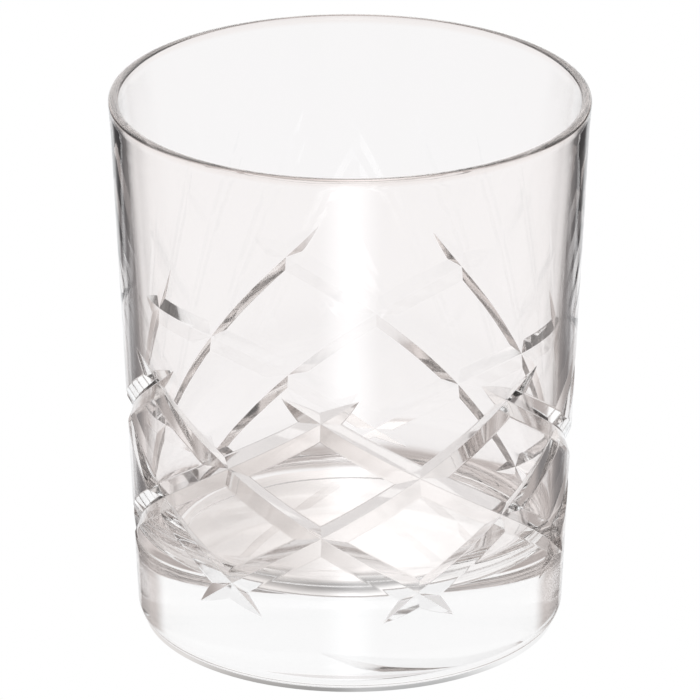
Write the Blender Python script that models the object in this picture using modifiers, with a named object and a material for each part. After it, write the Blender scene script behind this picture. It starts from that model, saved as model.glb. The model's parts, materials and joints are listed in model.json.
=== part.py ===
"""Cut-crystal whiskey tumbler: one turned piece of clear glass with a thick solid
base and a band of long V-section diagonal cuts that cross in a lattice.

Metres, +Z up, origin at the centre of the underside. Lengths below are in
millimetres and angles in degrees; MM turns them into scene units.
"""

import math

import bmesh
import bpy
from mathutils import Vector

MM = 0.001

# Body of revolution
HEIGHT = 98.2            # underside to top of lip
BASE_RADIUS = 38.05      # outer wall carried down to the underside
WALL_RADIUS = 42.35      # outer wall carried up to the lip
LIP_FLARE = 0.15         # how far the fire-polished lip swells past the wall
LIP_FLARE_RUN = 7.0      # height over which the lip swells
HEEL_RADIUS = 3.0        # rounded lower corner
RIM_WALL = 1.75          # wall thickness at the lip
BODY_WALL = 2.8          # wall thickness of the lower body
WALL_RUN = 60.0          # height below the lip over which the wall thickens
FLOOR_HEIGHT = 16.3      # thickness of the solid base
FLOOR_FILLET = 8.0       # inside corner between wall and floor
FOOT_RADIUS = 33.3       # inner edge of the ring that the tumbler stands on
FOOT_RECESS = 0.35       # depth of the shallow ground hollow inside that ring
FOOT_BLEND = 0.35        # width of the step from the ring to the hollow

# Diagonal cuts: two mirrored families of equal cuts
CUTS_PER_FAMILY = 7
CUT_PHASE = 5.4          # turn of the whole pattern about the axis
CUT_MIDDLE = 35.1        # height of the middle of every cut
CUT_SPAN = 48.2          # half the angle that one cut covers
CUT_PITCH = 0.424        # fall per degree of turn in the middle stretch
CUT_TIP_FALL = 4.1e-9    # extra fall towards the tips, fifth power of the angle
CUT_DEPTH = 1.05         # valley below the wall surface
CUT_HALF_ANGLE = 66.0    # half the included angle of the V
CUT_RUN_OUT = 11.0       # length over which a tip rises to the surface
CUT_CLEAR = 0.9          # how far a cutter stands out of the wall

# Mesh density
TURNS = 96
CUT_STEPS = {1: 20, -1: 21}   # right-hand and left-hand cuts


def outer_radius(z):
    """Outer wall radius at height z."""
    r = BASE_RADIUS + (WALL_RADIUS - BASE_RADIUS) * z / HEIGHT
    t = (z - (HEIGHT - LIP_FLARE_RUN)) / LIP_FLARE_RUN
    t = min(max(t, 0.0), 1.0)
    return r + LIP_FLARE * t * t * (3.0 - 2.0 * t)


def wall_draft():
    """Slope of the outer wall, radius per height."""
    return (WALL_RADIUS - BASE_RADIUS) / HEIGHT


def inner_radius(z):
    """Inner wall radius at height z: the wall thickens below the lip and then
    runs level with the outside."""
    t = min(max((HEIGHT - z) / WALL_RUN, 0.0), 1.0)
    return outer_radius(z) - RIM_WALL - (BODY_WALL - RIM_WALL) * t * (2.0 - t)


def profile():
    """Points (radius, height) from the floor centre, up the inside, over the
    lip, down the outside and back to the axis underneath."""
    pts = []
    # floor, and a fillet circle touching the floor and the leaning wall
    lean = math.atan(wall_draft())
    turn = math.pi / 2 - lean
    reach = FLOOR_FILLET * math.tan(turn / 2)
    corner = inner_radius(FLOOR_HEIGHT)
    centre = (corner - reach, FLOOR_HEIGHT + FLOOR_FILLET)
    for f in (0.0, 0.5):
        pts.append(((corner - reach) * f, FLOOR_HEIGHT))
    steps = 6
    for i in range(steps + 1):
        a = -math.pi / 2 + turn * i / steps
        pts.append((centre[0] + FLOOR_FILLET * math.cos(a),
                    centre[1] + FLOOR_FILLET * math.sin(a)))
    # inner wall
    lip = RIM_WALL / 2
    z0 = pts[-1][1]
    z1 = HEIGHT - lip
    lip_mid = outer_radius(z1) - lip
    for f in (0.33, 0.60, 0.82):
        z = z0 + (z1 - z0) * f
        pts.append((inner_radius(z), z))
    # rounded lip
    steps = 6
    for i in range(steps + 1):
        a = math.pi - math.pi * i / steps
        pts.append((lip_mid + lip * math.cos(a), z1 + lip * math.sin(a)))
    # outer wall, finer where the lip swells
    for z in (HEIGHT - 2.6, HEIGHT - 4.4, HEIGHT - LIP_FLARE_RUN, 60.0):
        pts.append((outer_radius(z), z))
    # heel
    heel = HEEL_RADIUS
    steps = 4
    for i in range(steps + 1):
        a = -math.pi / 2 * i / steps
        z = heel + heel * math.sin(a)
        pts.append((outer_radius(heel) - heel + heel * math.cos(a), z))
    # standing ring and shallow hollow
    pts.append((FOOT_RADIUS, 0.0))
    pts.append((FOOT_RADIUS - FOOT_BLEND, FOOT_RECESS))
    pts.append((0.0, FOOT_RECESS))
    return pts


def link(obj, collection):
    """Put an object in one collection only."""
    for c in list(obj.users_collection):
        c.objects.unlink(obj)
    collection.objects.link(obj)
    return obj


def turned(name, pts, turns, collection):
    """Object made by turning an open profile about Z with a Screw modifier."""
    mesh = bpy.data.meshes.new(name)
    bm = bmesh.new()
    verts = [bm.verts.new((r * MM, 0.0, z * MM)) for r, z in pts]
    for a, b in zip(verts, verts[1:]):
        bm.edges.new((a, b))
    bm.to_mesh(mesh)
    bm.free()
    obj = bpy.data.objects.new(name, mesh)
    collection.objects.link(obj)
    screw = obj.modifiers.new("turn", "SCREW")
    screw.axis = "Z"
    screw.angle = 2 * math.pi
    screw.steps = turns
    screw.render_steps = turns
    screw.use_merge_vertices = True
    screw.merge_threshold = 0.00001
    screw.use_smooth_shade = True
    return obj


def cut_height(x):
    """Height of a cut's valley, x degrees along it from its middle."""
    return CUT_MIDDLE - CUT_PITCH * x - CUT_TIP_FALL * x ** 5


def cut_point(hand, middle, x):
    """Point on the wall surface on the line of a cut, and the wall's normal."""
    z = cut_height(x)
    a = math.radians(middle + hand * x)
    r = outer_radius(z)
    point = Vector((r * math.sin(a), -r * math.cos(a), z))
    normal = Vector((math.sin(a), -math.cos(a), -wall_draft())).normalized()
    return point, normal


def cut_depth(s, length):
    """Depth of the valley at distance s along a cut: level in the middle, and
    rising on a wheel's arc to the surface at both tips."""
    d = min(s, length - s)
    if d >= CUT_RUN_OUT:
        return CUT_DEPTH
    return CUT_DEPTH * (1.0 - (1.0 - d / CUT_RUN_OUT) ** 2)


def cutter(name, hand, middle, collection):
    """V-section cutter swept along one diagonal cut. The section changes in
    depth along the run, so it is lofted section by section."""
    # length along the surface between the tips
    fine = 200
    xs = [-CUT_SPAN + 2 * CUT_SPAN * i / fine for i in range(fine + 1)]
    line = [cut_point(hand, middle, x)[0] for x in xs]
    run = [0.0]
    for a, b in zip(line, line[1:]):
        run.append(run[-1] + (b - a).length)
    length = run[-1]
    over = 1.5
    tan = math.tan(math.radians(CUT_HALF_ANGLE))
    per_degree = length / (2 * CUT_SPAN)
    mesh = bpy.data.meshes.new(name)
    bm = bmesh.new()
    rings = []
    steps = CUT_STEPS[hand]
    for i in range(steps + 1):
        # stations crowd towards the tips
        u = -math.cos(math.pi * i / steps)
        u = 0.5 * u + 0.5 * (2 * i / steps - 1)
        x = u * (CUT_SPAN + over / per_degree)
        s = (x + CUT_SPAN) * per_degree
        point, normal = cut_point(hand, middle, x)
        ahead, _ = cut_point(hand, middle, x + 0.05)
        behind, _ = cut_point(hand, middle, x - 0.05)
        along = (ahead - behind).normalized()
        side = normal.cross(along).normalized()
        up = along.cross(side).normalized()
        depth = cut_depth(s, length)
        height = depth + CUT_CLEAR
        half = height * tan
        ring = (point - up * depth,
                point + up * CUT_CLEAR + side * half,
                point + up * CUT_CLEAR - side * half)
        rings.append([bm.verts.new(p * MM) for p in ring])
    for a, b in zip(rings, rings[1:]):
        for j in range(3):
            k = (j + 1) % 3
            bm.faces.new((a[j], a[k], b[k], b[j]))
    bm.faces.new(list(reversed(rings[0])))
    bm.faces.new(rings[-1])
    bmesh.ops.triangulate(bm, faces=bm.faces[:])
    bmesh.ops.recalc_face_normals(bm, faces=bm.faces[:])
    bm.to_mesh(mesh)
    bm.free()
    obj = bpy.data.objects.new(name, mesh)
    collection.objects.link(obj)
    obj.hide_render = True
    obj.display_type = "WIRE"
    return obj


def glass_material():
    mat = bpy.data.materials.new("clear_crystal")
    mat.use_nodes = True
    shader = mat.node_tree.nodes["Principled BSDF"]
    shader.inputs["Base Color"].default_value = (0.97, 0.97, 0.965, 1.0)
    shader.inputs["Roughness"].default_value = 0.0
    shader.inputs["Metallic"].default_value = 0.0
    shader.inputs["IOR"].default_value = 1.52
    shader.inputs["Transmission Weight"].default_value = 1.0
    return mat


def main():
    for obj in list(bpy.data.objects):
        bpy.data.objects.remove(obj, do_unlink=True)

    parts = bpy.data.collections.new("whiskey_tumbler")
    cutters = bpy.data.collections.new("cutters")
    bpy.context.scene.collection.children.link(parts)
    bpy.context.scene.collection.children.link(cutters)

    glass = turned("tumbler_glass", profile(), TURNS, parts)
    glass.data.materials.append(glass_material())

    step = 360.0 / CUTS_PER_FAMILY
    for i in range(CUTS_PER_FAMILY):
        for hand, tag, shift in ((1, "right", 0.5), (-1, "left", 0.0)):
            middle = CUT_PHASE + (i + shift) * step
            tool = cutter("cut_%s_%d" % (tag, i + 1), hand, middle, cutters)
            mod = glass.modifiers.new(tool.name, "BOOLEAN")
            mod.operation = "DIFFERENCE"
            mod.solver = "EXACT"
            mod.object = tool


main()
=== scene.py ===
"""Looks of the cut-crystal whiskey tumbler: the fine glass surface, the crystal
materials, a plain studio and the camera. Lengths in the constants are in
millimetres and angles in degrees."""

import json
import math

import bmesh
import bpy
import numpy as np
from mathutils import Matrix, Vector

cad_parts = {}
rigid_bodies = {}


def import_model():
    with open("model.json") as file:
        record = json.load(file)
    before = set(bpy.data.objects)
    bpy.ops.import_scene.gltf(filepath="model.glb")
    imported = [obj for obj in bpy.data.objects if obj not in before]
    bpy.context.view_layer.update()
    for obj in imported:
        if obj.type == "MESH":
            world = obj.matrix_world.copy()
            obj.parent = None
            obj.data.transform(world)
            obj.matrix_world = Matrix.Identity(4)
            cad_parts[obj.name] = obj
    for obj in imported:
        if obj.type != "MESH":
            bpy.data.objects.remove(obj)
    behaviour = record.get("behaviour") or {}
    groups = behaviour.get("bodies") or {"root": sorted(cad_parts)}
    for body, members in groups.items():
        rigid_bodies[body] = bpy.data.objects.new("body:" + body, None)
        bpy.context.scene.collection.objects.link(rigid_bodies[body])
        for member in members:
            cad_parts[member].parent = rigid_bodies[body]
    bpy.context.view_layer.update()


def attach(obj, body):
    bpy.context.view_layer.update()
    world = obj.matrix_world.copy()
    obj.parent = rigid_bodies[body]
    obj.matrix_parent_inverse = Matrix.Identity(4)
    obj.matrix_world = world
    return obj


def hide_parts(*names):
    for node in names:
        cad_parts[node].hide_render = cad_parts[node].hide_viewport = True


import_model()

MM = 0.001

# ---------------------------------------------------------------- dimensions
# Same design as the CAD solid, at a finer mesh.
HEIGHT = 98.2
BASE_RADIUS = 38.05
WALL_RADIUS = 42.35
LIP_FLARE = 0.15
LIP_FLARE_RUN = 7.0
HEEL_RADIUS = 3.0
RIM_WALL = 1.75
BODY_WALL = 2.8
WALL_RUN = 60.0
FLOOR_HEIGHT = 16.3
FLOOR_FILLET = 8.0
FOOT_RADIUS = 33.3
FOOT_RECESS = 0.35
FOOT_BLEND = 0.35

CUTS_PER_FAMILY = 7
CUT_PHASE = 5.4
CUT_MIDDLE = 35.1
CUT_SPAN = 48.2
CUT_PITCH = 0.424
CUT_TIP_FALL = 4.1e-9
CUT_DEPTH = 1.05
CUT_HALF_ANGLE = 66.0
CUT_RUN_OUT = 11.0
CUT_VALLEY = 0.09        # half width of the polished valley
CUT_EDGE = 0.08          # depth of the polished edge of a cut
CUT_EDGE_ANGLE = 79.0
CUT_CLEAR = 0.35
WALL_BEND = 0.0031       # how far the wall falls away beside a cut, per square

SOAK = 4.0                       # absorption in the glass, per metre
SOAK_COLOR = (0.525, 0.475, 0.45)  # share of each colour that is spared
CLEAR = (1.0, 0.985, 0.98)       # light let through one surface
LIP_PAINTED_SHADE = (0.95, 0.90, 0.88)  # painted shade: the rounded lip is tinted darker than the rest of the glass

TURNS = 384
CUT_STEPS = {1: 170, -1: 171}


# ---------------------------------------------------------------- the outline
def outer_radius(z):
    r = BASE_RADIUS + (WALL_RADIUS - BASE_RADIUS) * z / HEIGHT
    t = (z - (HEIGHT - LIP_FLARE_RUN)) / LIP_FLARE_RUN
    t = min(max(t, 0.0), 1.0)
    return r + LIP_FLARE * t * t * (3.0 - 2.0 * t)


def outer_slope(z):
    """Radius gained per height on the outer wall."""
    s = (WALL_RADIUS - BASE_RADIUS) / HEIGHT
    t = (z - (HEIGHT - LIP_FLARE_RUN)) / LIP_FLARE_RUN
    if 0.0 < t < 1.0:
        s += LIP_FLARE * 6.0 * t * (1.0 - t) / LIP_FLARE_RUN
    return s


def inner_radius(z):
    t = min(max((HEIGHT - z) / WALL_RUN, 0.0), 1.0)
    return outer_radius(z) - RIM_WALL - (BODY_WALL - RIM_WALL) * t * (2.0 - t)


def inner_slope(z):
    return (inner_radius(z + 0.05) - inner_radius(z - 0.05)) / 0.1


def profile():
    """[(radius, height, normal radius, normal height)] from the floor centre up
    the inside, over the lip, down the outside, underneath."""
    out = []
    low = inner_radius(FLOOR_HEIGHT)
    lean = math.atan(inner_slope(FLOOR_HEIGHT))
    turn = math.pi / 2 - lean
    reach = FLOOR_FILLET * math.tan(turn / 2)
    cx, cz = low - reach, FLOOR_HEIGHT + FLOOR_FILLET

    for f in (0.0, 0.3, 0.6, 0.85):
        out.append((cx * f, FLOOR_HEIGHT, 0.0, 1.0))
    steps = 20
    for i in range(steps + 1):
        a = -math.pi / 2 + turn * i / steps
        out.append((cx + FLOOR_FILLET * math.cos(a), cz + FLOOR_FILLET * math.sin(a),
                    -math.cos(a), -math.sin(a)))
    z0 = out[-1][1]
    lip = RIM_WALL / 2
    z1 = HEIGHT - lip
    lip_mid = outer_radius(z1) - lip
    steps = 40
    for i in range(1, steps):
        z = z0 + (z1 - z0) * i / steps
        k = math.hypot(1.0, inner_slope(z))
        out.append((inner_radius(z), z, -1.0 / k, inner_slope(z) / k))
    steps = 26
    for i in range(steps + 1):
        a = math.pi - math.pi * i / steps
        out.append((lip_mid + lip * math.cos(a), z1 + lip * math.sin(a),
                    math.cos(a), math.sin(a)))
    levels = [HEIGHT - lip - 0.7 - 0.7 * i for i in range(10)]
    levels += [85.0, 75.0, 66.0, 58.0, 48.0, 38.0, 28.0, 18.0, 10.0, 5.0]
    for z in levels:
        if z < HEIGHT - lip - 0.2:
            s = outer_slope(z)
            k = math.hypot(1.0, s)
            out.append((outer_radius(z), z, 1.0 / k, -s / k))
    heel = HEEL_RADIUS
    steps = 12
    for i in range(steps + 1):
        a = -math.pi / 2 * i / steps
        out.append((outer_radius(heel) - heel + heel * math.cos(a), heel + heel * math.sin(a),
                    math.cos(a), math.sin(a)))
    out.append((FOOT_RADIUS, 0.0, 0.0, -1.0))
    out.append((FOOT_RADIUS - FOOT_BLEND, FOOT_RECESS, 0.0, -1.0))
    out.append((0.0, FOOT_RECESS, 0.0, -1.0))
    return out


# ---------------------------------------------------------------- the cuts
def cut_height(x):
    return CUT_MIDDLE - CUT_PITCH * x - CUT_TIP_FALL * x ** 5


def cut_point(hand, middle, x):
    z = cut_height(x)
    a = math.radians(middle + hand * x)
    r = outer_radius(z)
    point = Vector((r * math.sin(a), -r * math.cos(a), z))
    normal = Vector((math.sin(a), -math.cos(a), -outer_slope(z))).normalized()
    return point, normal


def cut_depth(s, length):
    d = min(s, length - s)
    if d >= CUT_RUN_OUT:
        return CUT_DEPTH
    return CUT_DEPTH * (1.0 - (1.0 - d / CUT_RUN_OUT) ** 2)


class Cut:
    """One V-section cut: its line on the wall, its depth, its two flanks, and
    the narrow polished strips along its valley and its edges."""

    VALLEY, FLANK, EDGE = range(3)

    def __init__(self, hand, middle):
        self.hand, self.middle = hand, middle
        fine = 240
        xs = [-CUT_SPAN + 2 * CUT_SPAN * i / fine for i in range(fine + 1)]
        line = [cut_point(hand, middle, x)[0] for x in xs]
        self.length = sum((b - a).length for a, b in zip(line, line[1:]))
        self.per_degree = self.length / (2 * CUT_SPAN)
        self.tan = math.tan(math.radians(CUT_HALF_ANGLE))
        self.tan_edge = math.tan(math.radians(CUT_EDGE_ANGLE))

    def section(self, x):
        """Middle of the valley at station x, the directions along, across and
        out, and the half sections [(across, out), ...] valley, edge, top."""
        point, normal = cut_point(self.hand, self.middle, x)
        ahead, _ = cut_point(self.hand, self.middle, x + 0.05)
        behind, _ = cut_point(self.hand, self.middle, x - 0.05)
        along = (ahead - behind).normalized()
        side = normal.cross(along).normalized()
        up = along.cross(side).normalized()
        depth = cut_depth((x + CUT_SPAN) * self.per_degree, self.length)
        share = depth / CUT_DEPTH
        w0 = CUT_VALLEY * min(max(share, 0.15), 1.0)
        w1 = w0 + max(depth, 0.0) * (1.0 - CUT_EDGE / CUT_DEPTH) * self.tan
        edge = CUT_EDGE * share + (WALL_BEND * w1 * w1 if depth > 0 else 0.0)
        w1 = w0 + abs(depth - edge) * self.tan
        w2 = w1 + (edge + CUT_CLEAR) * self.tan_edge
        half = ((w0, -depth), (w1, -edge if depth > 0 else abs(depth) + 0.001), (w2, CUT_CLEAR))
        if depth <= 0:
            half = ((w0, -depth), (w1 + 0.01, -depth + 0.01), (w2, CUT_CLEAR + abs(depth)))
        return point, along, side, up, half

    def corners(self, x, hand):
        """Valley, edge and top points on one side (hand 1 or -1)."""
        point, _, side, up, half = self.section(x)
        return [point + side * (hand * w) + up * h for w, h in half]

    def cutter(self, name, first, collection):
        """first + VALLEY, FLANK or EDGE is the material index of each strip."""
        over = 1.5
        steps = CUT_STEPS[self.hand]
        kinds = (self.VALLEY, self.FLANK, self.EDGE, self.EDGE, self.EDGE, self.FLANK)
        bm = bmesh.new()
        rings = []
        for i in range(steps + 1):
            u = -math.cos(math.pi * i / steps)
            u = 0.5 * u + 0.5 * (2 * i / steps - 1)
            x = u * (CUT_SPAN + over / self.per_degree)
            right, left = self.corners(x, 1), self.corners(x, -1)
            ring = [left[0], right[0], right[1], right[2], left[2], left[1]]
            rings.append([bm.verts.new(q * MM) for q in ring])
        for a, b in zip(rings, rings[1:]):
            for j in range(6):
                k = (j + 1) % 6
                bm.faces.new((a[j], a[k], b[k], b[j])).material_index = first + kinds[j]
        bm.faces.new(list(reversed(rings[0]))).material_index = first + self.EDGE
        bm.faces.new(rings[-1]).material_index = first + self.EDGE
        bmesh.ops.triangulate(bm, faces=bm.faces[:])
        bmesh.ops.recalc_face_normals(bm, faces=bm.faces[:])
        mesh = bpy.data.meshes.new(name)
        bm.to_mesh(mesh)
        bm.free()
        obj = bpy.data.objects.new(name, mesh)
        collection.objects.link(obj)
        return obj

    def flank(self, x, hand, t):
        """Outward normal of one flank, t of the way from valley to edge."""
        e = 0.05
        v1, s1, _ = self.corners(x + e, hand)
        v0, s0, _ = self.corners(x - e, hand)
        v, s, _ = self.corners(x, hand)
        n = ((v1 + (s1 - v1) * t) - (v0 + (s0 - v0) * t)).cross(s - v).normalized()
        return n if n.dot(Vector((v.x, v.y, 0.0))) > 0 else -n

    def normal(self, p, kind, wall):
        """Outward normal at point p (mm) of a strip; wall is the normal of the
        turned wall there."""
        a = math.degrees(math.atan2(p.x, -p.y)) - self.middle
        a = (a + 180.0) % 360.0 - 180.0
        x = self.hand * a
        for _ in range(4):
            point, along, side, up, half = self.section(x)
            step = (p - point).dot(along) / self.per_degree
            x += step
            if abs(step) < 2e-3:
                break
        point, along, side, up, half = self.section(x)
        across = (p - point).dot(side)
        if kind == self.VALLEY:
            t = min(max(0.5 + 0.5 * across / half[0][0], 0.0), 1.0)
            return (self.flank(x, -1, 0.0) * (1 - t) + self.flank(x, 1, 0.0) * t).normalized()
        hand = 1 if across > 0 else -1
        if kind == self.FLANK:
            (w0, _), (w1, _), _ = half
            t = min(max((abs(across) - w0) / max(w1 - w0, 1e-6), 0.0), 1.0)
            return self.flank(x, hand, t)
        # polished edge: rolls over from the flank to the wall
        edge = point + side * (hand * half[1][0]) + up * half[1][1]
        deep = outer_radius(edge.z) - math.hypot(edge.x, edge.y)
        here = outer_radius(p.z) - math.hypot(p.x, p.y)
        t = 1.0 - min(max(here / max(deep, 1e-3), 0.0), 1.0)
        return (self.flank(x, hand, 1.0) * (1 - t) + Vector(wall) * t).normalized()


def build_glass():
    work = bpy.data.collections.new("work")
    bpy.context.scene.collection.children.link(work)

    rows = profile()
    mesh = bpy.data.meshes.new("tumbler_turned")
    bm = bmesh.new()
    rings = []
    for r, z, _, _ in rows:
        if r < 1e-9:
            rings.append([bm.verts.new((0.0, 0.0, z * MM))])
        else:
            rings.append([bm.verts.new((r * MM * math.sin(2 * math.pi * k / TURNS),
                                        -r * MM * math.cos(2 * math.pi * k / TURNS), z * MM))
                          for k in range(TURNS)])
    for a, b in zip(rings, rings[1:]):
        for k in range(TURNS):
            k2 = (k + 1) % TURNS
            if len(a) == 1:
                bm.faces.new((a[0], b[k], b[k2]))
            elif len(b) == 1:
                bm.faces.new((a[k], b[0], a[k2]))
            else:
                bm.faces.new((a[k], b[k], b[k2], a[k2]))
    bmesh.ops.recalc_face_normals(bm, faces=bm.faces[:])
    bm.to_mesh(mesh)
    bm.free()
    body = bpy.data.objects.new("tumbler_turned", mesh)
    work.objects.link(body)
    for _ in range(3 * 2 * CUTS_PER_FAMILY + 1):
        mesh.materials.append(None)

    cuts = []
    step = 360.0 / CUTS_PER_FAMILY
    for i in range(CUTS_PER_FAMILY):
        for hand, shift in ((1, 0.5), (-1, 0.0)):
            cut = Cut(hand, CUT_PHASE + (i + shift) * step)
            tool = cut.cutter("cutter_%d" % len(cuts), 1 + 3 * len(cuts), work)
            cuts.append(cut)
            mod = body.modifiers.new(tool.name, "BOOLEAN")
            mod.operation = "DIFFERENCE"
            mod.solver = "EXACT"
            mod.object = tool
            mod.material_mode = "INDEX"

    graph = bpy.context.evaluated_depsgraph_get()
    made = bpy.data.meshes.new_from_object(body.evaluated_get(graph))
    for obj in list(work.objects):
        bpy.data.objects.remove(obj, do_unlink=True)
    bpy.data.collections.remove(work)

    # drop the slivers that the cutting leaves
    bm = bmesh.new()
    bm.from_mesh(made)
    bmesh.ops.remove_doubles(bm, verts=bm.verts[:], dist=0.000002)
    bmesh.ops.triangulate(bm, faces=[f for f in bm.faces if len(f.verts) > 4])
    bm.to_mesh(made)
    bm.free()

    # exact normals, so that light bends as it does through the true surface
    seg = []
    for (r0, z0, a0, b0), (r1, z1, a1, b1) in zip(rows, rows[1:]):
        seg.append((r0, z0, r1, z1, a0, b0, a1, b1))
    S = np.array(seg)

    def turned_normals(points):
        """Normals of the turned outline nearest to each point (mm)."""
        r = np.hypot(points[:, 0], points[:, 1])
        z = points[:, 2]
        P = np.stack([r, z], 1)[:, None, :]
        A = S[None, :, 0:2]
        B = S[None, :, 2:4]
        d = B - A
        t = np.clip(((P - A) * d).sum(2) / np.maximum((d * d).sum(2), 1e-12), 0, 1)
        q = A + d * t[..., None]
        dist = ((P - q) ** 2).sum(2)
        i = dist.argmin(1)
        k = np.arange(len(i))
        tt = t[k, i][:, None]
        n = S[i, 4:6] * (1 - tt) + S[i, 6:8] * tt
        n /= np.linalg.norm(n, axis=1, keepdims=True)
        c = np.where(r > 1e-6, points[:, 0] / np.maximum(r, 1e-9), 0)
        s = np.where(r > 1e-6, points[:, 1] / np.maximum(r, 1e-9), 0)
        return np.stack([n[:, 0] * c, n[:, 0] * s, n[:, 1]], 1)

    nv = len(made.vertices)
    co = np.empty(nv * 3)
    made.vertices.foreach_get("co", co)
    co = co.reshape(-1, 3) / MM
    nl = len(made.loops)
    lv = np.empty(nl, int)
    made.loops.foreach_get("vertex_index", lv)
    normals = turned_normals(co)[lv]
    flank = []
    for p in made.polygons:
        p.use_smooth = True
        if p.material_index:
            cut = cuts[(p.material_index - 1) // 3]
            kind = (p.material_index - 1) % 3
            mid = Vector(p.center) / MM
            for li in p.loop_indices:
                # lean each corner a hair towards the face, so the side is sure
                v = Vector(co[lv[li]])
                normals[li] = cut.normal(v + (mid - v) * 0.02, kind, normals[li])
            flank.append(p.index)
    # faces that lie across the profile's corners underneath keep their own
    for p in made.polygons:
        if p.normal.z < -0.2 and p.center.z < 0.0006 and math.hypot(p.center.x, p.center.y) < (FOOT_RADIUS + 3) * MM:
            for li in p.loop_indices:
                normals[li] = p.normal
    made.normals_split_custom_set([tuple(n) for n in normals])
    made.materials.clear()
    made.materials.append(crystal("crystal_fire_polished", 14.0, 0.018, 0.0, lip=True))
    made.materials.append(crystal("crystal_cut", 4.0, 0.012, 0.055))
    for i in flank:
        made.polygons[i].material_index = 1
    print("glass: %d vertices, %d faces, %d on the cuts" % (nv, len(made.polygons), len(flank)))
    made.name = "tumbler_crystal"
    obj = bpy.data.objects.new("tumbler_crystal", made)
    bpy.context.scene.collection.objects.link(obj)
    return obj


# ---------------------------------------------------------------- materials
class Nodes:
    """Short hand for wiring math nodes."""

    def __init__(self, tree):
        self.tree = tree

    def put(self, socket, value):
        if isinstance(value, bpy.types.NodeSocket):
            self.tree.links.new(value, socket)
        else:
            socket.default_value = value

    def math(self, op, a, b=0.0):
        node = self.tree.nodes.new("ShaderNodeMath")
        node.operation = op
        self.put(node.inputs[0], a)
        self.put(node.inputs[1], b)
        return node.outputs[0]

    def ramp(self, value, x0, x1, y0=0.0, y1=1.0):
        """y0 below x0, y1 above x1, an even S between."""
        node = self.tree.nodes.new("ShaderNodeMapRange")
        node.interpolation_type = "SMOOTHSTEP"
        self.put(node.inputs["Value"], value)
        for key, v in (("From Min", x0), ("From Max", x1), ("To Min", y0), ("To Max", y1)):
            self.put(node.inputs[key], v)
        return node.outputs[0]

    def mix(self, factor, a, b):
        node = self.tree.nodes.new("ShaderNodeMix")
        node.data_type = "RGBA"
        self.put(node.inputs[0], factor)
        for socket, v in ((node.inputs[6], a), (node.inputs[7], b)):
            self.put(socket, v if isinstance(v, bpy.types.NodeSocket) else (*v, 1.0))
        return node.outputs[2]


def crystal(name, waves, swell, roughness, lip=False):
    """Clear crystal with a faintly uneven surface: waves is the size of the
    unevenness and swell its height, both in millimetres. With lip, the top of
    the rim is tinted darker, a painted shade that lets a little less light through."""
    mat = bpy.data.materials.new(name)
    mat.use_nodes = True
    nt = mat.node_tree
    shader = nt.nodes["Principled BSDF"]
    shader.inputs["Base Color"].default_value = (*CLEAR, 1.0)
    shader.inputs["Roughness"].default_value = roughness
    shader.inputs["IOR"].default_value = 1.52
    shader.inputs["Transmission Weight"].default_value = 1.0
    coords = nt.nodes.new("ShaderNodeTexCoord")
    noise = nt.nodes.new("ShaderNodeTexNoise")
    noise.inputs["Scale"].default_value = 1.0 / (waves * MM)
    noise.inputs["Detail"].default_value = 1.0
    noise.inputs["Roughness"].default_value = 0.4
    nt.links.new(coords.outputs["Object"], noise.inputs["Vector"])
    bump = nt.nodes.new("ShaderNodeBump")
    bump.inputs["Strength"].default_value = 1.0
    bump.inputs["Distance"].default_value = swell * MM
    nt.links.new(noise.outputs["Fac"], bump.inputs["Height"])
    nt.links.new(bump.outputs["Normal"], shader.inputs["Normal"])
    if lip:
        k = Nodes(nt)
        split = nt.nodes.new("ShaderNodeSeparateXYZ")
        nt.links.new(coords.outputs["Object"], split.inputs[0])
        # painted shade: the glass near the top of the rim is tinted darker
        lip_shade_mask = k.ramp(split.outputs[2], (HEIGHT - 1.7) * MM, (HEIGHT - 0.9) * MM)
        nt.links.new(k.mix(lip_shade_mask, CLEAR, LIP_PAINTED_SHADE), shader.inputs["Base Color"])
    # light that stays in the glass for long is slowly soaked up, blue first
    soak = nt.nodes.new("ShaderNodeVolumeAbsorption")
    soak.inputs["Density"].default_value = SOAK
    soak.inputs["Color"].default_value = (*SOAK_COLOR, 1.0)
    nt.links.new(soak.outputs[0], nt.nodes["Material Output"].inputs["Volume"])
    return mat


def emitter(name, strength, color=(1, 1, 1)):
    mat = bpy.data.materials.new(name)
    mat.use_nodes = True
    nt = mat.node_tree
    nt.nodes.clear()
    out = nt.nodes.new("ShaderNodeOutputMaterial")
    em = nt.nodes.new("ShaderNodeEmission")
    em.inputs["Color"].default_value = (*color, 1)
    em.inputs["Strength"].default_value = strength
    nt.links.new(em.outputs[0], out.inputs[0])
    return mat


glass = build_glass()
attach(glass, "root")
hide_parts("tumbler_glass")

# ---------------------------------------------------------------- studio
mesh = bpy.data.meshes.new("studio_floor")
bm = bmesh.new()
bmesh.ops.create_grid(bm, x_segments=1, y_segments=1, size=3.0)
bm.to_mesh(mesh)
bm.free()
floor = bpy.data.objects.new("studio_floor", mesh)
floor.location = (0, 0, -0.0002)
bpy.context.scene.collection.objects.link(floor)
mesh.materials.append(emitter("floor_white", 1.0))
floor.visible_transmission = False
floor.visible_glossy = False
floor.visible_diffuse = False
floor.visible_shadow = False


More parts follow.
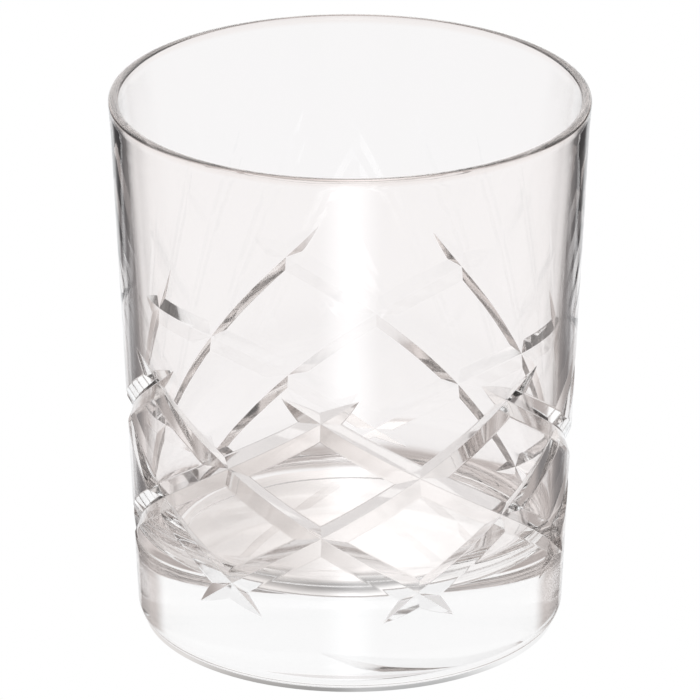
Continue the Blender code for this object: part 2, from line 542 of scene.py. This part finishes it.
def contact_patch():
    """A glowing disc for the table right under the glass, which only shows through the base:
    painted shadow on one side and painted light, as if gathered through the glass, on the other."""
    bm = bmesh.new()
    bmesh.ops.create_circle(bm, cap_ends=True, segments=96, radius=(BASE_RADIUS - 1.0) * MM)
    mesh = bpy.data.meshes.new("studio_contact")
    bm.to_mesh(mesh)
    bm.free()
    obj = bpy.data.objects.new("studio_contact", mesh)
    obj.location = (0, 0, -0.00015)
    bpy.context.scene.collection.objects.link(obj)
    mat = emitter("contact_painted_shadow_and_light", 1.0)
    tree = mat.node_tree
    k = Nodes(tree)
    coords = tree.nodes.new("ShaderNodeTexCoord")
    noise = tree.nodes.new("ShaderNodeTexNoise")
    noise.inputs["Scale"].default_value = 22.0
    noise.inputs["Detail"].default_value = 1.0
    tree.links.new(coords.outputs["Object"], noise.inputs["Vector"])
    split = tree.nodes.new("ShaderNodeSeparateXYZ")
    tree.links.new(coords.outputs["Object"], split.inputs[0])
    x, y, _ = split.outputs
    drift = k.math("MULTIPLY", k.math("SUBTRACT", noise.outputs["Fac"], 0.5), 0.02)
    x = k.math("ADD", x, drift)
    # painted shadow on the left, brighter painted light in the middle, dimmer towards the right
    left = k.ramp(x, -0.022, 0.001, 0.74, 1.14)
    right = k.ramp(x, 0.010, 0.030, 1.0, 0.82)
    # painted shadow towards the front edge
    front = k.ramp(y, -0.036, -0.021, 0.43, 1.0)
    # painted shadow: a soft dark streak just left of the middle
    shadow_streak = k.math("ABSOLUTE", k.math("ADD", x, 0.005))
    shadow_streak = k.math("MULTIPLY", k.ramp(shadow_streak, 0.002, 0.009, 1.0, 0.0), k.ramp(y, -0.005, 0.003, 1.0, 0.0))
    front = k.math("MULTIPLY", front, k.math("SUBTRACT", 1.0, k.math("MULTIPLY", shadow_streak, 0.20)))
    # painted light: faint curved bands, as if gathered by the wall
    r = k.math("SQRT", k.math("ADD", k.math("POWER", k.math("ADD", x, 0.012), 2.0),
                              k.math("POWER", k.math("ADD", y, 0.010), 2.0)))
    wave = k.math("SINE", k.math("MULTIPLY", k.math("ADD", r, drift), 620.0))
    wave = k.math("ADD", k.math("MULTIPLY", wave, 0.05), 1.0)
    level = k.math("MULTIPLY", k.math("MULTIPLY", left, right), k.math("MULTIPLY", front, wave))
    # warmer tint where the painted shadow lies
    colour = k.mix(k.ramp(x, -0.02, 0.01), (1.0, 0.965, 0.945), (1.0, 1.0, 1.0))
    em = [n for n in tree.nodes if n.type == "EMISSION"][0]
    tree.links.new(colour, em.inputs["Color"])
    tree.links.new(level, em.inputs["Strength"])
    mesh.materials.append(mat)

def studio_light():
    """Soft studio round the glass: a wide white panel behind it that reaches
    down to the table, a narrow dark flag on each side of the panel, pale walls
    elsewhere, and one tall soft strip in front."""
    world = bpy.data.worlds.new("studio")
    bpy.context.scene.world = world
    world.use_nodes = True
    tree = world.node_tree
    k = Nodes(tree)
    coords = tree.nodes.new("ShaderNodeTexCoord")
    split = tree.nodes.new("ShaderNodeSeparateXYZ")
    tree.links.new(coords.outputs["Generated"], split.inputs[0])
    x, y, z = split.outputs
    ax = k.math("ABSOLUTE", x)
    # turn away from straight behind, in degrees (0 behind, 180 in front)
    turn = k.math("MULTIPLY", k.math("ARCTAN2", ax, y), 180.0 / math.pi)

    # pale walls, darker towards the ground and above the horizon
    upper = k.ramp(z, 0.0, 0.14)
    light = k.mix(k.ramp(z, -0.74, -0.50), GROUND, WALL_LOW)
    light = k.mix(upper, light, WALL_HIGH)
    light = k.mix(k.ramp(z, 0.70, 0.86), light, CEILING)
    # panel: narrow down to the table, wide above
    reach = k.ramp(z, 0.01, 0.15, 24.0, 58.0)
    panel = k.ramp(k.math("SUBTRACT", turn, reach), -5.0, 5.0, 1.0, 0.0)
    panel = k.math("MULTIPLY", panel, k.ramp(z, -0.91, -0.79))
    panel = k.math("MULTIPLY", panel, k.ramp(z, 0.76, 0.90, 1.0, 0.0))
    screen = k.mix(k.ramp(z, -0.13, -0.03), PANEL_LOW, PANEL_MID)
    screen = k.mix(k.ramp(z, 0.06, 0.20), screen, PANEL_HIGH)
    light = k.mix(panel, light, screen)
    # flag: a soft dark band beside the panel, with a gap of wall in it
    flag = k.math("MULTIPLY", k.ramp(turn, 23.0, 31.0), k.ramp(turn, 50.0, 62.0, 1.0, 0.0))
    flag = k.math("MULTIPLY", flag, k.math("MULTIPLY", k.ramp(z, -0.85, -0.62), k.ramp(z, 0.0, 0.12, 1.0, 0.0)))
    light = k.mix(flag, light, FLAG)
    gap = k.math("MULTIPLY", k.ramp(turn, 24.0, 38.0), k.ramp(turn, 58.0, 66.0, 1.0, 0.0))
    gap = k.math("MULTIPLY", gap, k.math("MULTIPLY", k.ramp(z, -0.405, -0.355), k.ramp(z, -0.31, -0.27, 1.0, 0.0)))
    light = k.mix(gap, light, FLAG_GAP)
    core = k.math("MULTIPLY", k.ramp(turn, 17.0, 23.5), k.ramp(turn, 33.0, 44.0, 1.0, 0.0))
    core = k.math("MULTIPLY", core, k.math("MULTIPLY", k.ramp(z, -0.55, -0.47), k.ramp(z, -0.382, -0.345, 1.0, 0.0)))
    light = k.mix(core, light, FLAG_CORE)
    # strip in front
    strip = k.math("MULTIPLY", k.ramp(ax, 0.0, 0.27, 1.0, 0.0), k.ramp(y, -0.5, -0.6))
    strip = k.math("MULTIPLY", strip, k.math("MULTIPLY", k.ramp(z, -0.72, -0.58), k.ramp(z, -0.42, -0.31, 1.0, 0.0)))
    light = k.mix(strip, light, STRIP)
    path = tree.nodes.new("ShaderNodeLightPath")
    light = k.mix(path.outputs["Is Camera Ray"], light, (1.0, 1.0, 1.0))
    tree.links.new(light, tree.nodes["Background"].inputs["Color"])
    tree.nodes["Background"].inputs["Strength"].default_value = 1.0


WALL_LOW = (0.885, 0.845, 0.83)
WALL_HIGH = (0.69, 0.66, 0.645)
CEILING = (0.32, 0.31, 0.305)
GROUND = (0.54, 0.50, 0.485)
PANEL_LOW = (0.945, 0.953, 0.963)
PANEL_MID = (1.22, 1.24, 1.25)
PANEL_HIGH = (1.126, 1.163, 1.183)
FLAG = (0.46, 0.42, 0.405)
FLAG_GAP = (0.78, 0.74, 0.72)
FLAG_CORE = (0.18, 0.172, 0.175)
STRIP = (2.35, 2.4, 2.45)
studio_light()
contact_patch()

# ---------------------------------------------------------------- camera
FOCAL = 7000.0          # in widths of 1/700 of the frame
cam_data = bpy.data.cameras.new("camera")
cam_data.sensor_width = 36.0
cam_data.sensor_fit = "HORIZONTAL"
cam_data.lens = FOCAL / 700.0 * 36.0
cam_data.clip_start = 0.05
cam_data.clip_end = 20.0
cam = bpy.data.objects.new("camera", cam_data)
cam.location = (0.0, -1.1526, 0.5240)
cam.rotation_euler = (math.radians(90.0 - 22.37), 0.0, 0.0)
bpy.context.scene.collection.objects.link(cam)
bpy.context.scene.camera = cam

sc = bpy.context.scene
sc.view_settings.view_transform = "Standard"
sc.view_settings.look = "None"
sc.cycles.max_bounces = 24
sc.cycles.transmission_bounces = 24
sc.cycles.glossy_bounces = 24
sc.cycles.transparent_max_bounces = 16
sc.cycles.caustics_refractive = True
sc.cycles.caustics_reflective = True
sc.cycles.sample_clamp_indirect = 0.0
